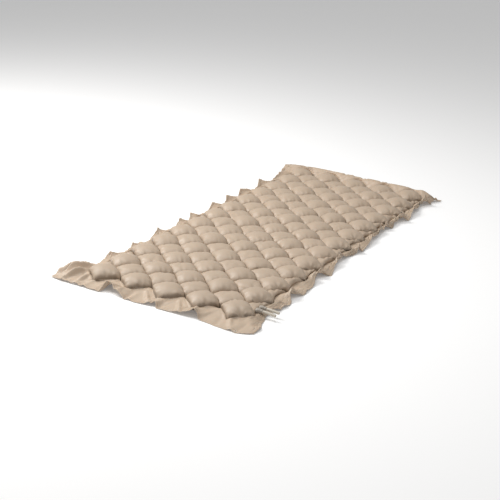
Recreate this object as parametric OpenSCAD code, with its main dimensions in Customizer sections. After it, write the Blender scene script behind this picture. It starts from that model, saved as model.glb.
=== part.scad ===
// Alternating-pressure cell mattress: two welded films that form a staggered
// field of rhombic air cells, a welded border, a hem and two air inlet tubes.
// Frame: origin under the middle of the mattress, +X towards the head end,
// +Y towards the side away from the tubes, +Z up. The underside lies at z = 0.

/* [Cell field] */
// Number of cell rows from foot to head
rows = 25; // [5:2:31]
// Full cells in the wider rows
cells_across = 5; // [3:1:7]
// Distance from one row to the next, half the length of a cell
row_pitch = 70; // [50:1:90]
// Width of one cell across the mattress, tip to tip
cell_w = 144.4; // [90:0.1:180]
// Height of the weld seams above the bed
seam_z = 23; // [12:0.5:35]
// Height of a cell's crown above its seams
crown_rise = 28; // [15:0.5:45]
// Height that a cell's underside would bulge below its seams
belly_rise = 27; // [24:0.5:40]

/* [Films and welds] */
// Thickness of one film
film_t = 0.5; // [0.3:0.1:1.5]
// Half the seam width seen by the lower cell halves
seam_half = 1.5; // [0.8:0.1:4]
// Half the opening-to-opening web width in the films
web_half = 2.2; // [1.2:0.1:5]
// Half the gap between neighbouring crowns
crown_gap_half = 2.6; // [1.5:0.1:6]
// Radius of the air channel between two cells of a row
channel_r = 1.8; // [1:0.1:2]
// Length of that air channel
channel_len = 4; // [2:0.5:4]

/* [Border] */
// Border from the cell tips to the edge at the foot and head
border_end = 47; // [25:1:90]
// Border from the cell tips to the edge at the long sides
border_side = 64; // [25:1:90]
// Width of the hem that lies on the bed
hem_w = 15; // [8:1:25]
// Thickness of the hem
hem_t = 1; // [0.6:0.1:2]
// Corner radius of the border
corner_r = 28; // [5:1:60]
// Wall of the sloping skirt, measured level
skirt_wall = 1.6; // [1:0.1:3]
// Height of the skirt above the bed at the cells
skirt_top = 24; // [12:0.5:36]
// Width of the raised perimeter weld
weld_bead_w = 1.5; // [0.5:0.1:1.8]
// Height of the raised perimeter weld
weld_bead_h = 0.6; // [0.3:0.1:1.5]

/* [Eyelets] */
// Positions of the foot eyelets along the width
eyelet_y = [354, -75, -354];
// Outside radius of an eyelet ring
eyelet_r = 5.8; // [5:0.1:6]
// Radius of an eyelet's hole
eyelet_hole_r = 3; // [2:0.1:5]
// Height of an eyelet ring above the hem
eyelet_h = 0.8; // [0.4:0.1:2]

/* [Inlet tubes] */
// Outside radius of a tube
tube_r = 5.5; // [4:0.1:8]
// Bore radius of a tube
tube_bore_r = 3.5; // [2:0.1:6]
// Length of a tube
tube_len = 64; // [40:1:120]
// Position of tube A along the mattress
tube_a_x = -800; // [-860:1:-600]
// Position of tube B along the mattress
tube_b_x = -772; // [-860:1:-600]
// Where the tubes leave the cell field across the mattress
tube_root_y = -360; // [-380:1:-340]
// Height of the tubes' axes
tube_z = 23.5; // [10:0.5:40]
// Outside radius of a weld collar
collar_r = 7.6; // [6.5:0.1:12]
// Length of a weld collar
collar_len = 12; // [6:1:25]

/* [Hidden] */
$fn = 72;

film_colour = [0.80, 0.73, 0.65];
seam_colour = [0.72, 0.64, 0.55];
tube_colour = [0.93, 0.91, 0.85];
collar_colour = [0.62, 0.60, 0.56];

half_l = row_pitch;                       // half diagonal along the mattress
half_w = cell_w / 2;                      // half diagonal across it
edge_len = sqrt(half_l * half_l + half_w * half_w);
edge_angle = atan2(half_w, half_l);       // direction of a cell's edges
across_edges = 2 * half_l * half_w / edge_len;
tip_factor = edge_len / half_l;           // tip setback for a unit inset
field_x = (rows - 1) / 2 * row_pitch + half_l;
field_y = cells_across * half_w;
out_x = field_x + border_end;
out_y = field_y + border_side;
web_x = field_x - skirt_wall;
web_y = field_y - skirt_wall;
eps = 0.01;

// Row i runs across the mattress; even rows are circuit A, odd rows circuit B.
function row_x(i) = (i - (rows - 1) / 2) * row_pitch;
function is_wide(i) = i % 2 == 0;
function full_cells(i) = is_wide(i) ? cells_across : cells_across - 1;
function cell_y(i, j) = (j - (full_cells(i) - 1) / 2) * cell_w;
function arch_r(chord, rise) = (chord * chord / 4 + rise * rise) / (2 * rise);

// One arch along direction ang: a lying cylinder whose cap spans the chord.
module arch(chord, rise, ang, len) {
  r = arch_r(chord, rise);
  translate([0, 0, rise - r]) rotate([0, 0, ang]) rotate([0, 90, 0])
    cylinder(r = r, h = len, center = true);
}

// A cell's vault above z = 0: two crossing arches, so it meets every seam.
module vault(rise, inset, top) {
  chord = across_edges - 2 * inset;
  intersection() {
    arch(chord, rise, edge_angle, 4 * half_w);
    arch(chord, rise, -edge_angle, 4 * half_w);
    translate([-half_l, -half_w, 0]) cube([2 * half_l, 2 * half_w, top]);
  }
}

// Half a cell against the side seam at y = 0; the cell lies towards -Y.
module half_vault(rise, inset, top) {
  intersection() {
    vault(rise, inset, top);
    translate([0, -half_w / 2, 0]) arch(half_w - 2 * inset, rise * 0.72, 0, 4 * half_w);
  }
}

// Puts a cell at every full place of row i, and a half cell at each end of a
// narrow row.
module along_row(i) {
  for (j = [0 : full_cells(i) - 1])
    translate([row_x(i), cell_y(i, j), 0]) children(0);
  if (!is_wide(i)) {
    translate([row_x(i), field_y, 0]) children(1);
    translate([row_x(i), -field_y, 0]) rotate([0, 0, 180]) children(1);
  }
}

// Upper halves of the cells of one row.
module crowns(i) {
  color(film_colour)
    translate([0, 0, seam_z + 0.4]) along_row(i) {
      vault(crown_rise, crown_gap_half, crown_rise + 1);
      half_vault(crown_rise, crown_gap_half, crown_rise + 1);
    }
}

// Lower halves of one circuit's cells, flat where they rest on the bed.
module undersides(first) {
  color(film_colour)
    for (i = [first : 2 : rows - 1])
      translate([0, 0, seam_z]) mirror([0, 0, 1]) along_row(i) {
        vault(belly_rise, seam_half, seam_z);
        half_vault(belly_rise, seam_half, seam_z);
      }
}

// Openings that joined cells of one row leave in the weld at their tips.
module channel_places(i) {
  last = full_cells(i) - 1;
  for (j = [0 : last - 1])
    translate([row_x(i), cell_y(i, j) + half_w, seam_z]) children();
  if (!is_wide(i))
    for (s = [-1, 1])
      translate([row_x(i), s * (cell_y(i, last) + half_w), seam_z]) children();
}

module channels(first) {
  color(seam_colour)
    for (i = [first : 2 : rows - 1])
      channel_places(i)
        rotate([90, 0, 0]) cylinder(r = channel_r, h = channel_len, center = true, $fn = 24);
}

// Outline of one cell opening in the film web.
module opening_2d(inset) {
  a = half_l - inset * edge_len / half_w;
  b = half_w - inset * tip_factor;
  polygon([[-a, 0], [0, -b], [a, 0], [0, b]]);
}

// Outline of one half-cell opening; the side seam is at y = 0.
module half_opening_2d(inset) {
  a = half_l - inset * edge_len / half_w;
  b = half_w - inset * tip_factor;
  reach = a * (1 - inset / b);
  polygon([[-reach, -inset], [0, -b], [reach, -inset]]);
}

// One welded film between the cells: a sheet with an opening for every cell.
module film_web(z) {
  box = channel_len + 0.4;
  color(seam_colour) translate([0, 0, z]) linear_extrude(film_t)
    difference() {
      translate([-web_x, -web_y]) square([2 * web_x, 2 * web_y]);
      for (i = [0 : rows - 1]) {
        along_row(i) {
          opening_2d(web_half);
          half_opening_2d(web_half);
        }
        channel_places(i) square([2 * channel_r + 0.4, box], center = true);
      }
    }
}

// The whole outline: a rectangle with rounded corners.
module outline_2d() {
  r = corner_r;
  square([2 * out_x - 2 * r, 2 * out_y], center = true);
  square([2 * out_x, 2 * out_y - 2 * r], center = true);
  for (sx = [-1, 1], sy = [-1, 1])
    translate([sx * (out_x - r), sy * (out_y - r)]) circle(r = r);
}

// A square-cornered ring that starts in_from inside the outline.
module ring_2d(in_from, width) {
  x = out_x - in_from;
  y = out_y - in_from;
  difference() {
    square([2 * x, 2 * y], center = true);
    square([2 * (x - width), 2 * (y - width)], center = true);
  }
}

// A frustum from half sizes x0, y0 at z0 to half sizes x1, y1 at z1.
module frustum(x0, y0, z0, x1, y1, z1) {
  polyhedron(
    points = [[-x0, -y0, z0], [x0, -y0, z0], [x0, y0, z0], [-x0, y0, z0],
              [-x1, -y1, z1], [x1, -y1, z1], [x1, y1, z1], [-x1, y1, z1]],
    faces = [[0, 1, 2, 3], [7, 6, 5, 4], [4, 5, 1, 0], [5, 6, 2, 1],
             [6, 7, 3, 2], [7, 4, 0, 3]]);
}

module tube_cylinder(x, y0, y1, r) {
  translate([x, y0, tube_z]) rotate([90, 0, 0]) cylinder(r = r, h = y0 - y1);
}

// Crown rows, foot to head.
module cell_row_01() { crowns(0); }
module cell_row_02() { crowns(1); }
module cell_row_03() { crowns(2); }
module cell_row_04() { crowns(3); }
module cell_row_05() { crowns(4); }
module cell_row_06() { crowns(5); }
module cell_row_07() { crowns(6); }
module cell_row_08() { crowns(7); }
module cell_row_09() { crowns(8); }
module cell_row_10() { crowns(9); }
module cell_row_11() { crowns(10); }
module cell_row_12() { crowns(11); }
module cell_row_13() { crowns(12); }
module cell_row_14() { crowns(13); }
module cell_row_15() { crowns(14); }
module cell_row_16() { crowns(15); }
module cell_row_17() { crowns(16); }
module cell_row_18() { crowns(17); }
module cell_row_19() { crowns(18); }
module cell_row_20() { crowns(19); }
module cell_row_21() { crowns(20); }
module cell_row_22() { crowns(21); }
module cell_row_23() { crowns(22); }
module cell_row_24() { crowns(23); }
module cell_row_25() { crowns(24); }

// Lower halves and air channels of circuit A and circuit B.
module cell_undersides_a() { undersides(0); }
module cell_undersides_b() { undersides(1); }
module air_channels_a() { channels(0); }
module air_channels_b() { channels(1); }

// The two films where they are welded together between the cells.
module top_film_web() { film_web(seam_z + film_t); }
module bottom_film_web() { film_web(seam_z); }

// The welded border: it slopes from the cells down to the hem, and is notched
// where the tubes leave the films.
module border_skirt() {
  foot_x = out_x - hem_w - 0.2;
  foot_y = out_y - hem_w - 0.2;
  color(film_colour)
    difference() {
      frustum(foot_x, foot_y, 0, field_x, field_y, skirt_top);
      frustum(foot_x - skirt_wall, foot_y - skirt_wall, -eps,
              field_x - skirt_wall, field_y - skirt_wall, skirt_top + eps);
      translate([tube_a_x - collar_r - 3, tube_root_y - 24, 10])
        cube([tube_b_x - tube_a_x + 2 * collar_r + 6, 34, 30]);
    }
}

// The flat hem round the border, with the eyelet holes.
module hem_border() {
  color(film_colour)
    difference() {
      linear_extrude(hem_t) difference() {
        outline_2d();
        square([2 * (out_x - hem_w), 2 * (out_y - hem_w)], center = true);
      }
      eyelet_places() translate([0, 0, -1]) cylinder(r = eyelet_hole_r, h = hem_t + 2);
    }
}

// The raised weld line that closes the two films along the hem.
module perimeter_weld() {
  color(seam_colour)
    translate([0, 0, hem_t]) linear_extrude(weld_bead_h)
      ring_2d(hem_w - weld_bead_w - 0.4, weld_bead_w);
}

module eyelet_places() {
  for (y = eyelet_y)
    translate([-(out_x - eyelet_r - 1), y, 0]) children();
}

// Welded rings round the three holes of the foot hem.
module hem_eyelets() {
  color(seam_colour)
    eyelet_places() translate([0, 0, hem_t])
      difference() {
        cylinder(r = eyelet_r, h = eyelet_h);
        translate([0, 0, -1]) cylinder(r = eyelet_hole_r, h = eyelet_h + 2);
      }
}

// Collars of welded film round the tubes.
module collar(x) {
  color(collar_colour)
    difference() {
      tube_cylinder(x, tube_root_y, tube_root_y - collar_len, collar_r);
      tube_cylinder(x, tube_root_y + 1, tube_root_y - collar_len - 1, tube_r + 0.1);
    }
}
module inlet_collar_a() { collar(tube_a_x); }
module inlet_collar_b() { collar(tube_b_x); }

// The air inlet tubes.
module inlet_tube(x) {
  color(tube_colour)
    difference() {
      tube_cylinder(x, tube_root_y, tube_root_y - tube_len, tube_r);
      tube_cylinder(x, tube_root_y + 1, tube_root_y - tube_len - 1, tube_bore_r);
    }
}
module inlet_tube_a() { inlet_tube(tube_a_x); }
module inlet_tube_b() { inlet_tube(tube_b_x); }

cell_row_01();
cell_row_02();
cell_row_03();
cell_row_04();
cell_row_05();
cell_row_06();
cell_row_07();
cell_row_08();
cell_row_09();
cell_row_10();
cell_row_11();
cell_row_12();
cell_row_13();
cell_row_14();
cell_row_15();
cell_row_16();
cell_row_17();
cell_row_18();
cell_row_19();
cell_row_20();
cell_row_21();
cell_row_22();
cell_row_23();
cell_row_24();
cell_row_25();
cell_undersides_a();
cell_undersides_b();
air_channels_a();
air_channels_b();
top_film_web();
bottom_film_web();
border_skirt();
hem_border();
perimeter_weld();
hem_eyelets();
inlet_collar_a();
inlet_collar_b();
inlet_tube_a();
inlet_tube_b();
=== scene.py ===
"""Alternating-pressure cell mattress: the looks.

Two films are welded together into a staggered field of air cells. Both are blown up here, cell by cell, by a
small position-based cloth solver in numpy, and the un-inflated border is settled round them in the same way.
Lengths are metres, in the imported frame. Grid places are whole steps (a, b) along the two directions of the
seams, or s = a + b - N along the mattress and d = a - b across it.
"""
import math

import bpy
import numpy as np
from mathutils import Matrix, Vector


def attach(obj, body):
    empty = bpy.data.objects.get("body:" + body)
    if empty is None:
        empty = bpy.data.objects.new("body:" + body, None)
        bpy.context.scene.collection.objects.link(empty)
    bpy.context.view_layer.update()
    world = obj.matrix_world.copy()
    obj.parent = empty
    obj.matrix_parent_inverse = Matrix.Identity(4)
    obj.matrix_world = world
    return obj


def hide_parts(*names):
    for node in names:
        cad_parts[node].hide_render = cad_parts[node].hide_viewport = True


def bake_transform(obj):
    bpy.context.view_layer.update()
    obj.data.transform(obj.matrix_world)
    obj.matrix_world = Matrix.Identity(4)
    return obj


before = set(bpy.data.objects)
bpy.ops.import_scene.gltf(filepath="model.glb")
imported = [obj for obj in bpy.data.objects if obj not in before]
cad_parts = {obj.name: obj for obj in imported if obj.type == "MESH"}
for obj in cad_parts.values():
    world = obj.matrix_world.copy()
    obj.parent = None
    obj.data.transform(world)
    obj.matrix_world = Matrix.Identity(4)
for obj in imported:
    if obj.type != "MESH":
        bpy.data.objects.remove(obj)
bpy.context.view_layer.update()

# ---- the cell lattice, as in the CAD --------------------------------------------------------------------------
ROWS = 25                 # rows of cells from foot (-X) to head (+X)
END_ROW = 12              # the last row, counted from the middle one
P = 0.070                 # from row to row, half a cell's length
Q = 0.1444                # a cell's width, tip to tip
EDGE = math.hypot(P, Q / 2)           # a seam's length
SEAM_Z = 0.0208           # height of the welds above the bed
FINE = 24
N = FINE        # grid steps along a cell's edge
END_S, SIDE_D = (END_ROW + 1) * N, 5 * N      # the outer tips of the cells, in grid steps
FIELD_Y = 2.5 * Q                     # the side tips, in metres
FLAT_X, FLAT_Y = 1.045, 1.075         # the flat film's length over the inflated field's
BORDER = 0.058                        # the flat border outside the field
BED = 0.0004                          # the border's lowest height
KEEP_SPEED = 0.90                     # of each step's movement, in both solvers
MATTRESS, CIRCUIT = "mattress", ("circuit_a_crowns", "circuit_b_crowns")
rng = np.random.default_rng(7)


def place(a, b):
    """Plan position of grid point (a, b): a steps towards +X+Y, b towards +X-Y."""
    a, b = np.asarray(a, float), np.asarray(b, float)
    return np.stack([(a + b - N) * P / N, (a - b) * Q / (2 * N)], -1)


def lattice_cells():
    """(row, a0, b0, side) for every cell, from its foot tip; side is +1 or -1 for a half cell there."""
    found = []
    for i in range(ROWS):
        wide = i % 2 == 0
        ys = [-4, -2, 0, 2, 4] if wide else [-3, -1, 1, 3, 5, -5]
        for y2 in ys:     # twice the centre's y in cell widths
            a0, b0 = N * (i - END_ROW + y2) // 2, N * (i - END_ROW - y2) // 2
            found.append((i, a0, b0, 0 if abs(y2) < 5 else int(np.sign(y2))))
    return found


CELLS = lattice_cells()

# ---- seams: welded lines that both films share ----------------------------------------------------------------
WANDER = (0.0024, 0.0024, 0.0006)     # spread of the corners' places
SEAM_BOW = 0.0033                     # how far firm cells push a seam towards soft ones
SEAM_HIGHEST = SEAM_Z + 0.0012        # below where the crowns' slide begins to move the film
DRAWN_IN = {"near": 0.030, "far": 0.016}      # the most that the limp side seams are drawn in
PIT_DEPTH, PIT_WIDTH = 0.012, 0.015   # the dip where four cells meet
_corner = {}


def corner_shift(a, b):
    """A small fixed wander of each lattice corner from its true place."""
    if (a, b) not in _corner:
        _corner[(a, b)] = rng.normal(0, 1, 3) * WANDER
    return _corner[(a, b)]


def seam_line(a0, b0, da, db):
    """The N+1 points of the seam from corner (a0, b0) in steps of (da, db), a little bowed and wavy."""
    t = np.linspace(0, 1, N + 1)[:, None]
    ends = corner_shift(a0, b0) * (1 - t) + corner_shift(a0 + da * N, b0 + db * N) * t
    k = np.arange(N + 1)
    flat = np.concatenate([place(a0 + da * k, b0 + db * k), np.full((N + 1, 1), SEAM_Z)], 1)
    along = flat[-1, :2] - flat[0, :2]
    across = np.array([-along[1], along[0]]) / np.linalg.norm(along)
    lean = SEAM_BOW * (1 if ((a0 + b0) // N) % 2 == 0 else -1) * (da - db)
    once, twice, thrice = (np.sin(k * math.pi * t) for k in (1, 2, 3))
    bow = (lean + rng.normal(0, 0.0016)) * once + rng.normal(0, 0.0017) * twice
    wave = rng.normal(0, 0.0007) * twice + rng.normal(0, 0.0005) * thrice
    out = flat + ends
    if da == db:          # the outer edge of a half cell, which is limp: drawn in and sagging between two tips
        most = DRAWN_IN["near" if a0 < b0 else "far"]
        bow = bow - np.sign(a0 - b0) * rng.uniform(0.6, 1) * most * once
        wave = wave - rng.uniform(0.003, 0.009)
    out[:, :2] += bow * across
    out[:, 2:] += wave * once
    out[:, 2:] -= PIT_DEPTH * (np.exp(-(t * EDGE / PIT_WIDTH) ** 2) + np.exp(-((1 - t) * EDGE / PIT_WIDTH) ** 2))
    out[:, 2] = np.minimum(out[:, 2], SEAM_HIGHEST)
    return out


_seams = {}


def seam(a0, b0, da, db):
    """The seam's points, made once, so that every film welded there has the same."""
    key = (a0, b0, da, db)
    if key not in _seams:
        _seams[key] = seam_line(*key)
    return _seams[key]


def start_grid():
    """Every cell's points, [cell, u, v, 3], with its seams in place and the rest spread between them."""
    pos = np.zeros((len(CELLS), N + 1, N + 1, 3))
    free = np.ones((len(CELLS), N + 1, N + 1), bool)
    t = np.linspace(0, 1, N + 1)
    for c, (_, a0, b0, side) in enumerate(CELLS):
        u0, u1 = seam(a0, b0, 1, 0), seam(a0, b0 + N, 1, 0)     # v = 0 and v = N
        v0, v1 = seam(a0, b0, 0, 1), seam(a0 + N, b0, 0, 1)     # u = 0 and u = N
        s, w = t[:, None, None], t[None, :, None]
        corners = (1 - s) * (1 - w) * u0[0] + s * (1 - w) * u0[-1] + (1 - s) * w * u1[0] + s * w * u1[-1]
        grid = (1 - w) * u0[:, None] + w * u1[:, None] + (1 - s) * v0[None] + s * v1[None] - corners
        if side:
            d = np.arange(N + 1)
            diagonal = seam(a0, b0, 1, 1)
            shift = diagonal - grid[d, d]
            uu, vv = np.meshgrid(d, d, indexing="ij")
            near = np.clip(1 - np.abs(uu - vv) / N, 0, 1)[..., None]
            grid = grid + shift[np.minimum(N, (uu + vv) // 2)] * near
            free[c] = (uu < vv) if side > 0 else (uu > vv)
        pos[c] = grid
        free[c, 0] = free[c, -1] = free[c, :, 0] = free[c, :, -1] = False
    return pos, free


def pull(x, free, i, j, rest, give, live=1.0):
    """Corrects the lengths between x[i] and x[j]: all of a stretch, and the share give of a squeeze."""
    xi, xj = x[i], x[j]
    d = xj - xi
    length = np.sqrt((d * d).sum(-1)) + 1e-9
    off = (length - rest) / length
    off = np.where(off > 0, off, off * give) * live
    wi, wj = free[i], free[j]
    share = off / np.maximum(wi + wj, 1)
    x[i] = xi + d * (share * wi)[..., None]
    x[j] = xj - d * (share * wj)[..., None]


def pairs(du, dv, odd):
    """Slices of every second grid edge (du, dv) steps long, so that no two in a pass share a point."""
    n, every = N + 1, slice(None)
    if du == 0:
        return (every, every, slice(odd, n - 1, 2)), (every, every, slice(odd + 1, n, 2))
    all_but_last, all_but_first = slice(0, n - 1), slice(1, n)
    i_v, j_v = {0: (every, every), 1: (all_but_last, all_but_first), -1: (all_but_first, all_but_last)}[dv]
    return (every, slice(odd, n - 1, 2), i_v), (every, slice(odd + 1, n, 2), j_v)


START_DOME, START_NOISE = 0.012, 0.0004       # a film's shape before it is blown up


def inflate(sign, stretch, floor, steps, push):
    """Blows one film of every cell up (sign +1) or down (-1), and gives its points and which of them are free.

    stretch is the film's length over the flat cell's, for each cell, and push is how far the air moves it in
    each step. With floor, the film stays above the bed.
    """
    pos, free = start_grid()
    live = np.ones(free.shape, bool)         # False beyond a half cell's side seam
    uu, vv = np.meshgrid(np.arange(N + 1), np.arange(N + 1), indexing="ij")
    for c, (_, _, _, side) in enumerate(CELLS):
        if side:
            live[c] = (uu <= vv) if side > 0 else (uu >= vv)
    weight = free.astype(np.float32)
    edge = EDGE / N
    passes = []
    for du, dv, rest in ((1, 0, edge), (0, 1, edge), (1, 1, 2 * P / N), (1, -1, Q / N)):
        for odd in (0, 1):
            i, j = pairs(du, dv, odd)
            lengths = (rest * stretch[:, None, None]).astype(np.float32)
            give = 0.05 if du * dv == 0 else 0.02
            passes.append((i, j, lengths, give, (live[i] & live[j]).astype(np.float32)))
    t = np.linspace(0, 1, N + 1)
    dome = (np.sin(math.pi * t)[:, None] * np.sin(math.pi * t)[None])[None, :, :]
    x = pos.copy()
    x[..., 2] += np.where(free, sign * START_DOME * dome, 0)
    x += np.where(free[..., None], rng.normal(0, START_NOISE, x.shape), 0)
    x = x.astype(np.float32)
    before = x.copy()
    du, dv = np.zeros_like(x), np.zeros_like(x)
    for _ in range(steps):
        du[:, 1:-1] = x[:, 2:] - x[:, :-2]
        dv[:, :, 1:-1] = x[:, :, 2:] - x[:, :, :-2]
        normal = np.stack([dv[..., 1] * du[..., 2] - dv[..., 2] * du[..., 1],
                           dv[..., 2] * du[..., 0] - dv[..., 0] * du[..., 2],
                           dv[..., 0] * du[..., 1] - dv[..., 1] * du[..., 0]], -1)
        normal /= np.sqrt((normal * normal).sum(-1))[..., None] + 1e-12
        step = (KEEP_SPEED * (x - before) + sign * push * normal) * weight[..., None]
        before = x.copy()
        x += step
        for _ in range(3):
            for i, j, rest, give, on in passes:
                pull(x, weight, i, j, rest, give, on)
        if floor:
            low = free & (x[..., 2] < 0.0)
            x[..., 2][low] = 0.0
            before[..., 2][low] = 0.0
            x[..., :2][low] = 0.5 * (x[..., :2][low] + before[..., :2][low])
    return x.astype(float), free


ROUNDNESS = 0.72                      # below 1, a crown is fuller towards its seams
SHOULDER, SHOULDER_WIDTH = 0.62, 0.010        # how far, and how near its seams, a film bulges over them


def fill_out(x, heights):
    """Gives each cell its height above the welds, and the steep shoulders of a film gathered at its seams."""
    rise = x[..., 2] - SEAM_Z
    most = np.abs(rise).max(axis=(1, 2), keepdims=True)
    share = np.clip(np.abs(rise) / most, 0, 1)
    full = SEAM_Z + np.sign(rise) * heights[:, None, None] * share ** ROUNDNESS
    x[..., 2] = np.where(free, full, x[..., 2])
    t = np.linspace(0, 1, N + 1)
    out = (SHOULDER * (1 - t) * np.exp(-(1 - t) * EDGE / SHOULDER_WIDTH)
           - SHOULDER * t * np.exp(-t * EDGE / SHOULDER_WIDTH))
    du, dv = np.array([P, Q / 2]) * 0.9, np.array([P, -Q / 2]) * 0.9
    for c, cell in enumerate(CELLS):
        shift = out[:, None, None] * du + out[None, :, None] * dv
        if cell[3]:
            shift *= np.clip(np.abs(t[:, None] - t[None]) * 4, 0, 1)[..., None]
        x[c, ..., :2] += np.where(free[c][..., None], shift, 0)
    return x


def seam_gap(c):
    """For each grid point of cell c: metres to its nearest seam, steps along that seam, and which seam it is."""
    uu, vv = np.meshgrid(np.arange(N + 1), np.arange(N + 1), indexing="ij")
    gaps, runs = [uu, N - uu, vv, N - vv], [vv, vv, uu, uu]
    if CELLS[c][3]:
        gaps.append(np.abs(uu - vv))
        runs.append((uu + vv) // 2)
    nearest = np.argmin(gaps, axis=0)
    return np.choose(nearest, gaps) * EDGE / N, np.choose(nearest, runs), nearest


PUCKER, PUCKER_WIDTH = 0.0020, 0.0065         # height, and how far from its seam a pucker is highest
STAR_DEPTH, STAR_WIDTH, STAR_FOLDS = 0.013, 0.013, 7


def wrinkle(x):
    """Puckers along the seams, and a few creases across each cell, more in the softer ones."""
    t = np.linspace(0, 1, N + 1)
    for c in range(len(CELLS)):
        gap, run, nearest = seam_gap(c)
        puckers = rng.normal(0, 1, (5, 2 * N + 1))
        puckers = (puckers[:, :-1] + puckers[:, 1:])[:, : N + 1] / 1.414
        lift = PUCKER * puckers[nearest, run] * (gap / PUCKER_WIDTH) * np.exp(1 - gap / PUCKER_WIDTH)
        for _ in range(7 if half[c] else 2 if firm[c] else 4):
            u0, v0, turn = rng.uniform(0.15, 0.85), rng.uniform(0.15, 0.85), rng.uniform(0, math.pi)
            depth = rng.uniform(0.0006, 0.0016) * (2.2 if half[c] else 0.8 if firm[c] else 1.4)
            wide, long = rng.uniform(0.05, 0.08), rng.uniform(0.16, 0.32)
            p, q = t[:, None] - u0, t[None] - v0
            along = p * math.cos(turn) + q * math.sin(turn)
            across = q * math.cos(turn) - p * math.sin(turn)
            across = across + rng.uniform(-0.8, 0.8) * along ** 2
            lift = lift - depth * np.exp(-(across / wide) ** 2 - (along / long) ** 2) * np.clip(gap / 0.01, 0, 1)
        near_end = CELLS[c][1] - CELLS[c][2]
        if near_end in (-4 * N, -5 * N):     # a gathered star half way along the last seam before each near tip
            u, v = t[:, None] - (0.0 if near_end == -4 * N else 1.0), t[None] - 0.5
            away, angle = np.hypot(u, v) * EDGE, np.arctan2(v, u)
            rays = 1 + 0.6 * np.cos(STAR_FOLDS * angle)
            lift = lift - STAR_DEPTH * np.exp(-away / STAR_WIDTH) * rays * np.clip(gap / 0.003, 0, 1)
        x[c, ..., 2] += np.where(free[c], lift, 0)
    return x


CROWN_FIRM, CROWN_SOFT = 0.0350, 0.0280       # heights above the welds
HALF_CELL = 0.45                      # a half cell's height over a full one's
STRETCH_TOP, STRETCH_BOTTOM = 1.20, 1.120     # the films' lengths over the flat cells'
PUSH_TOP, PUSH_BOTTOM = 0.00035 * FINE / N, 0.00030 * FINE / N
steps = 130
firm = np.array([cell[0] % 2 == 0 for cell in CELLS])       # one circuit is at a higher pressure than the other
half = np.array([cell[3] != 0 for cell in CELLS])
top, free = inflate(+1, rng.normal(STRETCH_TOP, 0.012, len(CELLS)), False, steps, PUSH_TOP)
heights = np.where(firm, CROWN_FIRM, CROWN_SOFT) * np.where(half, HALF_CELL, 1) + rng.normal(0, 0.0019, len(CELLS))
top = wrinkle(fill_out(top, heights))
bottom, _ = inflate(-1, rng.normal(STRETCH_BOTTOM, 0.008, len(CELLS)), True, steps, PUSH_BOTTOM)

# ---- the border: both films fused, un-inflated, longer than the field it is welded to --------------------------
REACH_X = END_S + round(BORDER * N / (P * FLAT_X))
REACH_Y = SIDE_D + round(BORDER * 2 * N / (Q * FLAT_Y))
REACH_Y += (REACH_X + REACH_Y) % 2       # so that the corner is a grid point


def in_field(s, d):
    """Whether grid place (s, d) is inside a cell."""
    s, d = np.abs(s), np.abs(d)
    tooth = (s - END_ROW * N) + np.abs((d + N) % (2 * N) - N) < N
    return (d < SIDE_D) & ((s <= END_ROW * N) | tooth)


def border_grid():
    """Vertices (a, b) and faces of the border on the lattice's own grid, so that it meets every cell."""
    span = np.arange((N - REACH_X - REACH_Y) // 2, (N + REACH_X + REACH_Y) // 2 + 1)
    a, b = (g.ravel() for g in np.meshgrid(span, span, indexing="ij"))
    s, d = a + b + 1 - N, a - b          # of the quad from (a, b) to (a+1, b+1)
    keep = ~in_field(s, d) & (np.abs(s) <= REACH_X + 1) & (np.abs(d) <= REACH_Y + 1)
    on_side = (np.abs(d) == SIDE_D) & (np.abs(s) < END_ROW * N)
    index, faces = {}, []
    for a, b, s, d, side in zip(a[keep], b[keep], s[keep], d[keep], on_side[keep]):
        ring = ((a, b, s - 1, d), (a + 1, b, s, d + 1), (a + 1, b + 1, s + 1, d), (a, b + 1, s, d - 1))
        ring = [(i, j) for i, j, p, q in ring
                if abs(p) <= REACH_X and abs(q) <= REACH_Y and (not side or abs(q) >= SIDE_D)]
        if len(ring) > 2:
            faces.append([index.setdefault(v, len(index)) for v in ring])
    return np.array(list(index)), faces


grid, border_faces = border_grid()
lookup = {tuple(v): k for k, v in enumerate(grid)}
gs, gd = grid.sum(1) - N, grid[:, 0] - grid[:, 1]
flat_x, flat_y = gs * P / N, gd * Q / (2 * N)      # the plan places of the border's points
out_x = np.clip((np.abs(gs) - END_S) / (REACH_X - END_S), -1.4, 1)    # 1 at the edge, 0 level with the tips
out_y = np.clip((np.abs(gd) - SIDE_D) / (REACH_Y - SIDE_D), -1.4, 1)
to_end = np.clip((out_x + 0.8) / 1.8, 0, 1)        # 0 in the field, 1 at the foot or head hem

# where the border meets the cells, it is welded to their seams
weld, seam_pos = {}, start_grid()[0]
for c, (_, a0, b0, side) in enumerate(CELLS):
    for u in range(N + 1):
        for v in {0, N, u if side else 0}:
            if not side or (u <= v if side > 0 else u >= v):
                weld[(a0 + u, b0 + v)] = seam_pos[c, u, v]
            if not side or (v <= u if side > 0 else v >= u):
                weld[(a0 + v, b0 + u)] = seam_pos[c, v, u]
pinned = np.array([tuple(v) in weld for v in grid])

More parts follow.
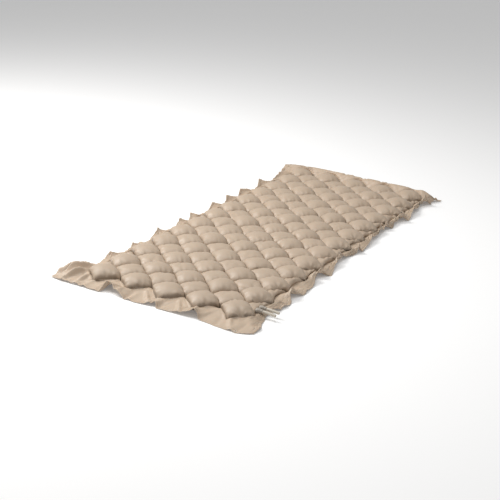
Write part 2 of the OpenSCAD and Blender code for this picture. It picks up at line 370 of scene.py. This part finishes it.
# the hem's way round the mattress, (x, y, z) in millimetres, read off the photograph where it shows
HEM = {
    "near": ((-944, -415, 2), (-900, -417, 10), (-860, -400, 2), (-779, -380, 2), (-735, -386, 4), (-716, -388, 16),
             (-700, -400, 0), (-672, -392, 14), (-645, -411, 0), (-615, -402, 4), (-596, -386, 28), (-573, -378, 42),
             (-548, -388, 24), (-528, -404, 4), (-500, -410, 0), (-430, -398, 1), (-391, -384, 18), (-362, -368, 36),
             (-350, -364, 20), (-340, -360, 1), (-315, -376, 54), (-285, -398, 1), (-280, -404, 0), (-235, -394, 2),
             (-206, -383, 14), (-158, -366, 32), (-120, -356, 20), (-98, -350, 36), (-72, -358, 18), (-45, -366, 6),
             (0, -380, 0), (16, -384, 1), (33, -386, 42), (53, -406, 0), (80, -402, 0), (115, -395, 10),
             (160, -384, 18), (207, -372, 30), (240, -378, 10), (290, -366, 16), (335, -352, 34), (365, -356, 4),
             (390, -358, 36), (408, -374, 0), (437, -374, 8), (480, -362, 20), (492, -362, 18), (508, -360, 1),
             (541, -374, 54), (567, -396, 0), (575, -400, 0), (600, -397, 6), (622, -391, 20), (680, -378, 28),
             (740, -374, 14), (800, -362, 14), (814, -362, 1), (843, -378, 52), (872, -396, 1), (893, -384, 6),
             (915, -388, 0), (930, -393, 28), (943, -406, 0), (962, -418, 4)),
    "far": ((-949, 458, 4), (-915, 452, 8), (-867, 441, 30), (-820, 425, 34), (-775, 405, 12), (-730, 393, 4),
            (-690, 397, 18), (-655, 402, 34), (-620, 388, 16), (-570, 384, 4), (-530, 391, 12), (-500, 398, 24),
            (-470, 387, 10), (-405, 384, 2), (-350, 391, 18), (-310, 403, 36), (-280, 388, 14), (-240, 382, 2),
            (-180, 388, 8), (-135, 401, 34), (-113, 389, 12), (-90, 385, 6), (-45, 401, 30), (-20, 386, 8),
            (40, 382, 1), (100, 390, 14), (144, 404, 36), (170, 388, 10), (210, 382, 2), (245, 390, 18),
            (272, 404, 38), (305, 388, 12), (350, 382, 3), (402, 403, 36), (430, 386, 8), (500, 380, 1),
            (550, 390, 16), (588, 404, 38), (620, 388, 12), (700, 384, 4), (760, 393, 20), (800, 398, 26),
            (840, 404, 20), (885, 411, 40)),
    "foot": ((-944, -415, 2), (-960, -398, 3), (-974, -350, 1), (-968, -304, 1), (-959, -247, 1), (-953, -194, 1),
             (-942, -184, 22), (-946, -172, 33), (-951, -152, 22), (-955, -116, 9), (-957, -77, 3), (-958, -24, 2),
             (-944, -8, 17), (-953, 10, 8), (-960, 72, 1), (-957, 118, 4), (-950, 150, 20), (-944, 172, 24),
             (-928, 200, 38), (-932, 219, 36), (-958, 230, 2), (-958, 270, 4), (-956, 330, 4), (-956, 400, 5),
             (-949, 458, 4)),
    "head": ((962, -418, 4), (944, -340, 16), (930, -200, 12), (922, -60, 16), (914, 80, 12), (905, 220, 18),
             (896, 330, 22), (885, 411, 40)),
}
# long folds, (x, y) to (x, y), height and half width in millimetres
FOLDS = ((-855, 365, -943, 405, 28, 10), (-800, 375, -905, 447, 26, 11), (-870, 330, -950, 345, 14, 9),
         (-590, -325, -562, -392, 12, 9), (-450, -328, -352, -376, 15, 9), (-726, -325, -660, -388, 10, 8),
         (-700, -350, -640, -400, 8, 8), (-185, -335, -150, -368, 14, 9), (-318, -335, -312, -360, 10, 7),
         (30, -340, 34, -386, 12, 9), (110, -338, 205, -372, 14, 9), (250, -345, 335, -356, 12, 9),
         (380, -345, 390, -362, 10, 9), (470, -345, 541, -378, 10, 9), (620, -350, 690, -380, 12, 9),
         (780, -350, 843, -378, 10, 9), (-880, 72, -948, 18, 8, 8), (-880, -72, -950, -112, 8, 8),
         (-880, -150, -948, -172, 10, 8), (-880, -216, -955, -190, 7, 8), (-885, -290, -965, -330, 7, 9),
         (-875, 216, -932, 214, 10, 9), (-885, 145, -950, 162, 9, 8))
REACH_LONG, REACH_SHORT = REACH_X * P / N, REACH_Y * Q / (2 * N)
REACH = {"near": REACH_LONG, "far": REACH_LONG, "foot": REACH_SHORT, "head": REACH_SHORT}
RIDGE_X, RIDGE_HALF = 0.902, 0.040    # at the head the border stands up in a long ridge
BORDER_TOP = 0.056                    # the height of that ridge, and the most for any fold
FOLD_TOP = 0.052                      # the most for a fold on a half cell, at the top of the crowns' slide
CUT_X, CUT_Y = 1.045, 1.035           # the border film's length over its plan's
HEM_SLACK = 0.04                      # and how much longer again at the hem
HEM_HELD = 0.7                        # how firmly the drawn hem is held while the rest finds its place
HELD_LAST = 0.7                       # the share of that which is kept to the end
SAG = 0.00003                         # weight's pull in each step


def hem_move(side, along):
    """How far the hem is drawn from its flat place along one side, for flat places along it."""
    way = np.array(HEM[side]) / 1000
    length = np.concatenate([[0], np.cumsum(np.linalg.norm(np.diff(way, axis=0), axis=1))])
    progress = way[:, 0] if side in ("near", "far") else way[:, 1]
    progress = (progress - progress[0]) / (progress[-1] - progress[0])
    # the flat place is half way between its share of the plan and its share of the film's length
    flat = REACH[side] * (progress + length / length[-1] - 1)
    target = np.stack([np.interp(along, flat, way[:, k]) for k in range(3)], 1)
    fixed = np.full(len(along), -1.0 if side in ("near", "foot") else 1.0)
    if side in ("near", "far"):
        return target - np.stack([along, fixed * REACH["foot"], 0 * along], 1)
    return target - np.stack([fixed * REACH["near"], along, 0 * along], 1)


def border_start():
    """Each border point before it is let go, drawn from the flat plan to where the hem is to lie.

    Also how far out each point is towards the long sides, from 0 at the field to 1 at the hem.
    """
    x, y = flat_x, flat_y
    over_y = np.maximum(np.abs(y) - FIELD_Y, 0)
    sides = over_y / over_y.max()
    along = np.where((y < 0)[:, None], hem_move("near", x), hem_move("far", x))
    across = np.where((x < 0)[:, None], hem_move("foot", y), hem_move("head", y))
    most = np.maximum(to_end, sides)
    share = (sides ** 4 / (sides ** 4 + to_end ** 4 + 1e-9))[:, None]
    pos = np.stack([x, y, SEAM_Z * (1 - most) ** 1.2 + 0.0005], 1)
    pos += (share * along + (1 - share) * across) * (most ** 1.15)[:, None]
    ridge = BORDER_TOP * np.exp(-((pos[:, 0] - RIDGE_X) / RIDGE_HALF) ** 2)
    ridge *= np.clip((0.425 + y) / 0.09, 0, 1) ** 0.7      # it comes down to the near corner
    off_welds = np.abs(x) / P - END_ROW + np.abs((y / Q + 0.5) % 1 - 0.5) * 2 - 1
    tooth = np.clip(off_welds / 0.35, 0, 1)
    raised = pos[:, 2] * (1 - tooth) + np.maximum(pos[:, 2], ridge) * tooth
    pos[:, 2] = np.where(x > 0, raised, pos[:, 2])
    pos = fold(pos)
    pos[:, 2] = np.minimum(pos[:, 2], BORDER_TOP)
    for k in np.flatnonzero(pinned):
        pos[k] = weld[tuple(grid[k])]
    return pos, sides


def border_passes(start, sides):
    """(first points, second points, rest lengths, give) of every set of edges that share no point."""
    passes = []
    for step, give in ((1, 0.3), (3, 0.2), (7, 0.05)):
        for da, db in ((1, 0), (0, 1), (1, 1), (1, -1)):
            for colour in (0, 1):
                i, j = [], []
                for k, (a, b) in enumerate(grid):
                    along = a if da else b
                    far = (a + da * step, b + db * step)
                    if (along // step) % 2 == colour and far in lookup:
                        mid_s, mid_d = a + b - N + (da + db) * step / 2, a - b + (da - db) * step / 2
                        if not in_field(mid_s, mid_d):
                            i.append(k)
                            j.append(lookup[far])
                i, j = np.array(i), np.array(j)
                more_x = CUT_X + HEM_SLACK * (sides[i] + sides[j]) / 2
                more_y = CUT_Y + 0.25 * HEM_SLACK * (to_end[i] + to_end[j]) / 2
                rest = step * np.hypot((da + db) * P / N * more_x, (da - db) * Q / (2 * N) * more_y)
                drawn = np.linalg.norm(start[i] - start[j], axis=1) / rest      # it is cut to lie as it is drawn
                rest = rest * np.clip(drawn, 0.92 if step == 1 else 0.55, 1.75)
                passes.append((i, j, rest.astype(np.float32), give))
    return passes


def settle_border(steps):
    """Lets the border go: it keeps its lengths and rests on the bed, while its hem is held, ever less, as drawn."""
    x, sides = border_start()
    weight = (~pinned).astype(np.float32)
    passes = border_passes(x, sides)
    hold = x.copy()
    outward = np.clip(np.maximum(out_x, out_y), 0, 1) ** 1.5
    past_head = (gs > 12.3 * N) * 0.6
    held = (HEM_HELD * np.maximum(outward, past_head) * weight)[:, None]
    x = (x + rng.normal(0, 0.0003, x.shape) * weight[:, None]).astype(np.float32)
    before = x.copy()
    for k in range(steps):
        step = KEEP_SPEED * (x - before) * weight[:, None]
        step[:, 2] -= SAG * weight
        before = x.copy()
        x += step
        x += held * max(HELD_LAST, 1 - k / steps) * (hold - x)
        for _ in range(4):
            for i, j, rest, give in passes:
                pull(x, weight, i, j, rest, give)
        low = (~pinned) & (x[:, 2] < BED)
        x[low, 2] = BED
        x[low, :2] = before[low, :2] + 0.3 * (x[low, :2] - before[low, :2])
    return x.astype(float)


def crease(x):
    """Long creases across the border, from the field's edge to the hem, as the slack film gathers."""
    to_side = np.clip(out_y, 0, 1)
    for along, reach, part, long_side, t, per_metre in (
            (flat_x, REACH["near"], gd < 0, True, to_side, 75), (flat_x, REACH["far"], gd > 0, True, to_side, 75),
            (flat_y, REACH["foot"], gs < 0, False, to_end, 75), (flat_y, REACH["head"], gs > 0, False, to_end, 25)):
        here = part & ((to_side > to_end) == long_side)
        for _ in range(int(reach * per_metre)):
            centre, lean = rng.uniform(-reach, reach), rng.uniform(-0.035, 0.035)
            wide, size = rng.uniform(0.0045, 0.0115), rng.choice((-1, 1)) * rng.uniform(0.0014, 0.0042)
            start = rng.uniform(0.0, 0.35)
            line = np.exp(-((along - centre - lean * t) / wide) ** 2)
            line = line * np.clip((t - start) / 0.3, 0, 1) * here * ~pinned
            x[:, 2] += size * line
            x[:, 1 if long_side else 0] += 0.6 * size * line
    x[:, 2] = np.where(pinned, x[:, 2], np.maximum(x[:, 2], BED))
    return x


def fold(x):
    """Raises the long folds in any array of points."""
    x0 = x.copy()
    for ax, ay, bx, by, height, wide in np.array(FOLDS) / 1000:
        line = np.array([bx - ax, by - ay])
        away = x0[..., :2] - (ax, ay)
        t = np.clip(away @ line / (line @ line), 0, 1)
        gap = np.linalg.norm(away - t[..., None] * line, axis=-1)
        arch = 0.25 + 0.75 * np.sin(math.pi * np.clip(t, 0.1, 0.9))
        x[..., 2] += height * np.exp(-(gap / wide) ** 2) * arch
    return x


for c in np.flatnonzero(half):
    top[c] = np.where(free[c][..., None], fold(top[c].copy()), top[c])
    top[c][..., 2] = np.where(free[c], np.minimum(top[c][..., 2], FOLD_TOP), top[c][..., 2])
border = crease(settle_border(160))


# ---- meshes ---------------------------------------------------------------------------------------------------
def add_mesh(name, points, faces, attributes=()):
    """A smooth object in the scene, with a number for each point under each attribute's name."""
    mesh = bpy.data.meshes.new(name)
    mesh.from_pydata([tuple(map(float, q)) for q in points], [], [tuple(map(int, f)) for f in faces])
    mesh.validate()
    for key, values in attributes:
        mesh.attributes.new(key, "FLOAT", "POINT").data.foreach_set("value", np.asarray(values, np.float32))
    mesh.shade_smooth()
    made = bpy.data.objects.new(name, mesh)
    bpy.context.scene.collection.objects.link(made)
    return made


def cell_faces(side, up):
    """Faces of one cell's grid as (u, v) corners; a half cell stops at its side seam."""
    found = []
    for u in range(N):
        for v in range(N):
            ring = [(u, v), (u + 1, v), (u + 1, v + 1), (u, v + 1)]
            if side:
                ring = [(i, j) for i, j in ring if (i <= j if side > 0 else i >= j)]
            if len(ring) > 2:
                found.append(ring[::-1] if up else ring)
    return found


def seam_facts(u, v):
    """(metres from the nearest full seam, metres along it) of a grid point, for the material."""
    gap, run = min([(u, v), (N - u, v), (v, u), (N - v, u)])
    return gap * EDGE / N, run * EDGE / N


def film_part(cells, grids, up):
    """Points, faces and attributes of some cells' films. Points on a shared corner or seam are one point."""
    index, points, faces, gap, run, run_in = {}, [], [], [], [], []
    for c in cells:
        _, a0, b0, side = CELLS[c]
        for ring in cell_faces(side, up):
            face = []
            for u, v in ring:
                key = (a0 + u, b0 + v) if (a0 + u, b0 + v) in weld else (c, a0 + u, b0 + v)
                if key not in index:
                    index[key] = len(points)
                    points.append(grids[c, u, v])
                    away, along = seam_facts(u, v)
                    gap.append(away)
                    run.append(along + 0.37 * c)         # so that no two cells pucker alike
                    run_in.append(along)
                face.append(index[key])
            faces.append(face)
    return points, faces, (("gap", gap), ("run", run), ("run_in", run_in))


rows = []
for i in range(ROWS):
    cells = [c for c, cell in enumerate(CELLS) if cell[0] == i]
    rows.append(add_mesh(f"cells_row_{i + 1:02d}", *film_part(cells, top, True)))
undersides = add_mesh("bottom_film", *film_part(range(len(CELLS)), bottom, False))

gap_x = (REACH_X - np.abs(gs)) * P / N * FLAT_X       # metres of flat film to the hem
gap_y = (REACH_Y - np.abs(gd)) * Q / (2 * N) * FLAT_Y
hem_gap = np.minimum(gap_x, gap_y)
EYELET_Y, EYELET_IN = (0.354, -0.075, -0.354), 0.0085      # places across the foot, and how far in from the hem


def eyelet_miss(face, y):
    """How badly a border face suits the eyelet at y: never one at the head, and never a triangle."""
    at = border[face].mean(0)
    unfit = 10 if at[0] > 0 or len(face) < 4 else 0
    return abs(at[1] - y) + abs(hem_gap[face].mean() - EYELET_IN) * 2 + unfit


eyelet_quads = [min(border_faces, key=lambda face: eyelet_miss(face, y)) for y in EYELET_Y]
border_faces = [face for face in border_faces if face not in eyelet_quads]       # each eyelet is a real hole
hem_run = np.where(gap_x < gap_y, flat_y, flat_x)
border_film = add_mesh("border_film", border, border_faces, (("hem", hem_gap), ("run", hem_run)))
solid = border_film.modifiers.new("film", "SOLIDIFY")
solid.thickness, solid.offset = 0.0007, 0

# ---- camera, light and floor, fitted to the photograph ---------------------------------------------------------
YAW, TILT, ROLL = math.radians(-62.29), math.radians(20.30), math.radians(3.60)
AWAY, LOOK_AT = 4.541, Vector((-0.220, 0, 0))
FOCAL_PIXELS, SENSOR = 1094, 36
back = Vector((math.sin(YAW) * math.cos(TILT), -math.cos(YAW) * math.cos(TILT), math.sin(TILT)))
right = (-back).cross(Vector((0, 0, 1))).normalized()
up = right.cross(-back)
right, up = right * math.cos(ROLL) + up * math.sin(ROLL), up * math.cos(ROLL) - right * math.sin(ROLL)
camera = bpy.data.objects.new("camera", bpy.data.cameras.new("camera"))
turn = Matrix((right, up, back)).transposed().to_4x4()
camera.matrix_world = Matrix.Translation(LOOK_AT + back * AWAY) @ turn
camera.data.sensor_width = SENSOR
camera.data.lens = FOCAL_PIXELS / 500 * SENSOR
camera.data.clip_end = 50
bpy.context.scene.collection.objects.link(camera)
bpy.context.scene.camera = camera


def area_light(name, spot, size, power, colour):
    """A round soft light at spot, turned to the mattress."""
    light = bpy.data.lights.new(name, "AREA")
    light.shape, light.size, light.energy, light.color = "DISK", size, power, colour
    made = bpy.data.objects.new(name, light)
    made.location = spot
    made.rotation_euler = (Vector(LIGHT_AIM) - Vector(spot)).to_track_quat("-Z", "Y").to_euler()
    bpy.context.scene.collection.objects.link(made)


bpy.context.scene.view_settings.view_transform = "Standard"
LIGHT_AIM = (-0.3, 0, 0)
area_light("key", (-0.6, 2.5, 2.7), 2.0, 108, (1.0, 0.985, 0.965))
area_light("top", (-0.7, 0.2, 3.6), 2.4, 42, (1.0, 1.0, 1.0))
world = bpy.data.worlds.new("studio")
bpy.context.scene.world = world
world.use_nodes = True
world.node_tree.nodes["Background"].inputs["Color"].default_value = (1.0, 1.0, 1.0, 1)
world.node_tree.nodes["Background"].inputs["Strength"].default_value = 0.41


def material(name):
    """A new material, with its nodes, links and shader."""
    made = bpy.data.materials.new(name)
    made.use_nodes = True
    return made, made.node_tree.nodes, made.node_tree.links, made.node_tree.nodes["Principled BSDF"]


floor_mat, _, _, shader = material("studio_floor")
shader.inputs["Base Color"].default_value = (0.90, 0.90, 0.90, 1)
shader.inputs["Roughness"].default_value = 0.9
shader.inputs["Emission Color"].default_value = (1, 1, 1, 1)
shader.inputs["Emission Strength"].default_value = 0.12
FLOOR_Z, FLOOR_REACH = -0.0006, 30
corners = [(x * FLOOR_REACH, y * FLOOR_REACH, FLOOR_Z) for x, y in ((-1, -1), (1, -1), (1, 1), (-1, 1))]
floor = add_mesh("floor", corners, [(0, 1, 2, 3)])
floor.data.materials.append(floor_mat)

# ---- materials ------------------------------------------------------------------------------------------------
WELD_IN = 0.0135          # the perimeter weld's distance from the hem


def film_material(name, light, dark, seamed):
    """Semi-matte vinyl with fine grain, faint mottling, and a puckered, glossier strip along its weld.

    light is the film's colour and dark the strip's: painted shade in the valleys at a cell's seams, the weld's own
    colour on the border. seamed puts the strip at a cell's seams, and else it follows the border's hem.
    """
    made, nodes, links, shader = material(name)

    def add(kind, **values):
        """A node; each value is set as a property if it is one, and else on the input of that name."""
        node = nodes.new(kind)
        for key, value in values.items():
            if hasattr(node, key):
                setattr(node, key, value)
            else:
                node.inputs[key].default_value = value
        return node

    def scaled(source, low, high, to_low, to_high):
        """The source between low and high, eased to between to_low and to_high."""
        node = add("ShaderNodeMapRange")
        node.interpolation_type = "SMOOTHSTEP"
        for key, value in zip(("From Min", "From Max", "To Min", "To Max"), (low, high, to_low, to_high)):
            node.inputs[key].default_value = value
        links.new(source, node.inputs["Value"])
        return node.outputs["Result"]

    def maths(operation, a, b):
        """Two numbers or sockets put through one operation."""
        node = add("ShaderNodeMath", operation=operation)
        for socket, value in zip(node.inputs, (a, b)):
            if isinstance(value, float):
                socket.default_value = value
            else:
                links.new(value, socket)
        return node.outputs[0]

    def attribute(key):
        """What the mesh stores under this name."""
        return add("ShaderNodeAttribute", attribute_name=key).outputs["Fac"]

    place_at = add("ShaderNodeTexCoord").outputs["Object"]
    run = attribute("run")
    if seamed:           # a cell's strip is where it meets its seams; its colour there is painted shade, darkest in the holes where four cells meet
        gap, run_in = attribute("gap"), attribute("run_in")
        strip = scaled(gap, 0.0, 0.0105, 1.0, 0.0)
        end = maths("MINIMUM", run_in, maths("SUBTRACT", EDGE, run_in))
        # painted shade for the valleys at a cell's seams, deeper towards each seam's ends where four cells meet
        painted_shade_and_weld_tint = maths("MULTIPLY", strip, scaled(end, 0.004, 0.022, 1.0, 0.55))
    else:                # the border's strip is its perimeter weld
        gap = attribute("hem")
        strip = scaled(maths("ABSOLUTE", maths("SUBTRACT", gap, WELD_IN), 0.0), 0.0006, 0.0022, 1.0, 0.0)
        painted_shade_and_weld_tint = maths("MULTIPLY", strip, 0.55)

    mottle = add("ShaderNodeTexNoise", Scale=9.0, Detail=3.0, Roughness=0.55)
    links.new(place_at, mottle.inputs["Vector"])
    blotch = scaled(mottle.outputs["Fac"], 0.3, 0.7, 0.0, 0.45)
    tone = add("ShaderNodeMix", data_type="RGBA")
    links.new(blotch, tone.inputs[0])
    tone.inputs[6].default_value = (*light, 1)
    tone.inputs[7].default_value = (*[v * 0.90 for v in light], 1)
    colour = add("ShaderNodeMix", data_type="RGBA")
    links.new(painted_shade_and_weld_tint, colour.inputs[0])
    links.new(tone.outputs[2], colour.inputs[6])
    colour.inputs[7].default_value = (*dark, 1)
    links.new(colour.outputs[2], shader.inputs["Base Color"])

    grain = add("ShaderNodeTexNoise", Scale=650.0, Detail=3.0, Roughness=0.6)
    creases = add("ShaderNodeTexNoise", Scale=38.0, Detail=4.0, Roughness=0.5, Distortion=0.8)
    links.new(place_at, grain.inputs["Vector"])
    links.new(place_at, creases.inputs["Vector"])
    along = add("ShaderNodeCombineXYZ")
    links.new(maths("MULTIPLY", run, 170.0), along.inputs["X"])
    links.new(maths("MULTIPLY", gap, 30.0), along.inputs["Y"])
    pucker = add("ShaderNodeTexNoise", Scale=1.0, Detail=2.0)
    links.new(along.outputs[0], pucker.inputs["Vector"])
    puckers = maths("MULTIPLY", pucker.outputs["Fac"], scaled(gap, 0.001, 0.019, 1.0, 0.0))
    crinkle = maths("MULTIPLY", creases.outputs["Fac"], 0.55 if seamed else 0.9)
    height = maths("ADD", maths("MULTIPLY", puckers, 2.0), crinkle)
    height = maths("SUBTRACT", height, maths("MULTIPLY", strip, 0.25 if seamed else 0.8))
    folds = add("ShaderNodeBump", Strength=0.8, Distance=0.0014)
    links.new(height, folds.inputs["Height"])
    skin = add("ShaderNodeBump", Strength=0.22, Distance=0.0002)
    links.new(grain.outputs["Fac"], skin.inputs["Height"])
    links.new(folds.outputs[0], skin.inputs["Normal"])
    links.new(skin.outputs[0], shader.inputs["Normal"])
    matte = scaled(mottle.outputs["Fac"], 0.3, 0.7, 0.43, 0.55)
    worn = maths("SUBTRACT", matte, maths("MULTIPLY", strip, 0.12))
    links.new(worn, shader.inputs["Roughness"])
    shader.inputs["IOR"].default_value = 1.53
    shader.inputs["Subsurface Weight"].default_value = 0.06
    shader.inputs["Subsurface Radius"].default_value = (0.9, 0.5, 0.3)
    shader.inputs["Subsurface Scale"].default_value = 0.002
    return made


# the dark strip colours of the crown and underside films are painted shade for the valleys at the seams
film_crown = film_material("film_crown", (0.482, 0.378, 0.283), (0.050, 0.031, 0.018), True)
film_under = film_material("film_underside", (0.44, 0.348, 0.264), (0.10, 0.064, 0.038), True)
# the border is the same film as the cells, given a lighter colour as painted light because it faces away from the
# key
film_border = film_material("film_border", (0.530, 0.414, 0.307), (0.62, 0.495, 0.38), False)


def fitting_material(name, colour, rough, speckle):
    """Moulded or welded plastic with a faint speckle in its colour, gloss and surface."""
    made, nodes, links, shader = material(name)
    noise = nodes.new("ShaderNodeTexNoise")
    noise.inputs["Scale"].default_value, noise.inputs["Detail"].default_value = 260.0, 4.0
    where = nodes.new("ShaderNodeTexCoord")
    links.new(where.outputs["Object"], noise.inputs["Vector"])
    tone = nodes.new("ShaderNodeMix")
    tone.data_type = "RGBA"
    links.new(noise.outputs["Fac"], tone.inputs[0])
    tone.inputs[6].default_value = (*colour, 1)
    tone.inputs[7].default_value = (*[v * speckle for v in colour], 1)
    links.new(tone.outputs[2], shader.inputs["Base Color"])
    gloss = nodes.new("ShaderNodeMapRange")
    gloss.inputs["To Min"].default_value = rough - 0.06
    gloss.inputs["To Max"].default_value = rough + 0.06
    links.new(noise.outputs["Fac"], gloss.inputs["Value"])
    links.new(gloss.outputs["Result"], shader.inputs["Roughness"])
    bump = nodes.new("ShaderNodeBump")
    bump.inputs["Strength"].default_value, bump.inputs["Distance"].default_value = 0.2, 0.0002
    links.new(noise.outputs["Fac"], bump.inputs["Height"])
    links.new(bump.outputs[0], shader.inputs["Normal"])
    return made


tube_plastic = fitting_material("tube_plastic", (0.64, 0.58, 0.49), 0.32, 0.88)
collar_film = fitting_material("collar_film", (0.43, 0.38, 0.32), 0.40, 0.75)
eyelet_vinyl = fitting_material("eyelet_vinyl", (0.74, 0.63, 0.51), 0.30, 0.85)

for piece, look in [(row, film_crown) for row in rows] + [(undersides, film_under), (border_film, film_border)]:
    piece.data.materials.append(look)

# ---- inlet tubes, their collars, and the eyelets ---------------------------------------------------------------
SIDES = 32


def turned(name, rings, look, closed=False):
    """A solid of round sections, each (centre, across, up, radius). closed joins the last to the first."""
    points, faces = [], []
    for centre, across, up, radius in rings:
        for k in range(SIDES):
            angle = 2 * math.pi * k / SIDES
            spoke = math.cos(angle) * Vector(across) + math.sin(angle) * Vector(up)
            points.append(Vector(centre) + radius * spoke)
    count = len(rings)
    for r in range(count if closed else count - 1):
        for k in range(SIDES):
            a, b = r * SIDES + k, r * SIDES + (k + 1) % SIDES
            c, d = (r + 1) % count * SIDES + (k + 1) % SIDES, (r + 1) % count * SIDES + k
            faces.append((a, b, c, d))
    if not closed:
        faces += [tuple(reversed(range(SIDES))), tuple(range((count - 1) * SIDES, count * SIDES))]
    made = add_mesh(name, points, faces)
    made.data.materials.append(look)
    return made


TUBE_R, BORE_R, COLLAR_R = 0.0055, 0.0035, 0.0076
TUBE_LEN, COLLAR_LEN, BOOT_LEN = 0.064, 0.012, 0.014      # the boot goes in from the tube's root, the rest out
TUBE_ROOT_Y, TUBE_Z, TUBE_DROOP = -0.360, 0.0235, 0.0035
TIGHT = TUBE_R + 0.0001   # inside a collar or boot, on the tube
RING_STEP = 0.006


def tube_ring(x, along, radius, wide=1.0):
    """A ring round tube x's line, along metres out from its root; the tube droops over the border."""
    out = max(along - COLLAR_LEN, 0) / (TUBE_LEN - COLLAR_LEN)
    slope = 2 * TUBE_DROOP * out / (TUBE_LEN - COLLAR_LEN)
    centre = (x, TUBE_ROOT_Y - along, TUBE_Z - TUBE_DROOP * out ** 2)
    upward = Vector((0, -slope, 1)).normalized()
    return centre, (wide, 0, 0), upward, radius


fittings = []
for letter, x in (("a", -0.800), ("b", -0.772)):
    end = TUBE_LEN
    outside = [(-BOOT_LEN, TUBE_R)] + [(k * RING_STEP, TUBE_R) for k in range(11)]
    mouth = [(end - 0.0008, TUBE_R), (end - 0.0002, TUBE_R - 0.0003), (end, TUBE_R - 0.0007),
             (end, BORE_R + 0.0004), (end - 0.0004, BORE_R)]
    bore = [(k * RING_STEP, BORE_R) for k in range(10, 2, -1)]
    tube = turned(f"inlet_tube_{letter}", [tube_ring(x, *r) for r in outside + mouth + bore], tube_plastic)
    collar = turned(f"inlet_collar_{letter}", [tube_ring(x, *r) for r in (
        (0.0, TIGHT), (0.0, COLLAR_R - 0.0005), (0.0006, COLLAR_R), (0.0050, COLLAR_R - 0.0002),
        (0.0062, COLLAR_R - 0.0006), (0.0074, COLLAR_R - 0.0002), (COLLAR_LEN - 0.0006, COLLAR_R - 0.0001),
        (COLLAR_LEN, COLLAR_R - 0.0006), (COLLAR_LEN, TIGHT))], collar_film, closed=True)
    boot = turned(f"collar_boot_{letter}", [tube_ring(x, *r) for r in (
        (-BOOT_LEN, TIGHT), (-BOOT_LEN, 0.0085, 1.5), (-0.009, 0.0090, 1.35), (-0.004, 0.0086, 1.15),
        (0.001, 0.0081), (0.0020, 0.0078), (0.0020, TIGHT))], collar_film, closed=True)
    fittings += [(tube, "tube_plastic", f"inlet_tube_{letter}"), (collar, "collar_film", f"inlet_collar_{letter}"),
                 (boot, "collar_film", None)]

EYELET_SECTION = ((0.0024, -0.0007), (0.0024, 0.0008), (0.0034, 0.0012), (0.0044, 0.0014), (0.0053, 0.0011),
                  (0.0058, 0.0004), (0.0058, -0.0007), (0.0046, -0.0011))      # (radius, height over the film)
eyelets = []
for label, quad in zip(("far", "middle", "near"), eyelet_quads):
    ring = [border[v] for v in quad]
    centre = sum(ring) / 4
    normal = np.cross(ring[2] - ring[0], ring[3] - ring[1])
    normal = Vector(normal / np.linalg.norm(normal))
    if normal.z < 0:
        normal = -normal
    across = normal.orthogonal().normalized()
    up_way = normal.cross(across)
    rings = [(Vector(centre) + normal * height, across, up_way, radius) for radius, height in EYELET_SECTION]
    eyelets.append(turned(f"eyelet_{label}", rings, eyelet_vinyl, closed=True))

# ---- what rides on what ---------------------------------------------------------------------------------------
for i, row in enumerate(rows):
    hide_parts(f"cell_row_{i + 1:02d}")
    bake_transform(row)
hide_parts("cell_undersides_a", "cell_undersides_b", "air_channels_a", "air_channels_b",
            "bottom_film_web")
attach(undersides, MATTRESS)
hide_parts("top_film_web", "border_skirt", "hem_border", "perimeter_weld")
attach(border_film, MATTRESS)

for piece, slot, node in fittings:
    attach(piece, MATTRESS)
    if node:
        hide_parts(node)
for eyelet in eyelets:
    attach(eyelet, MATTRESS)
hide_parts("hem_eyelets")
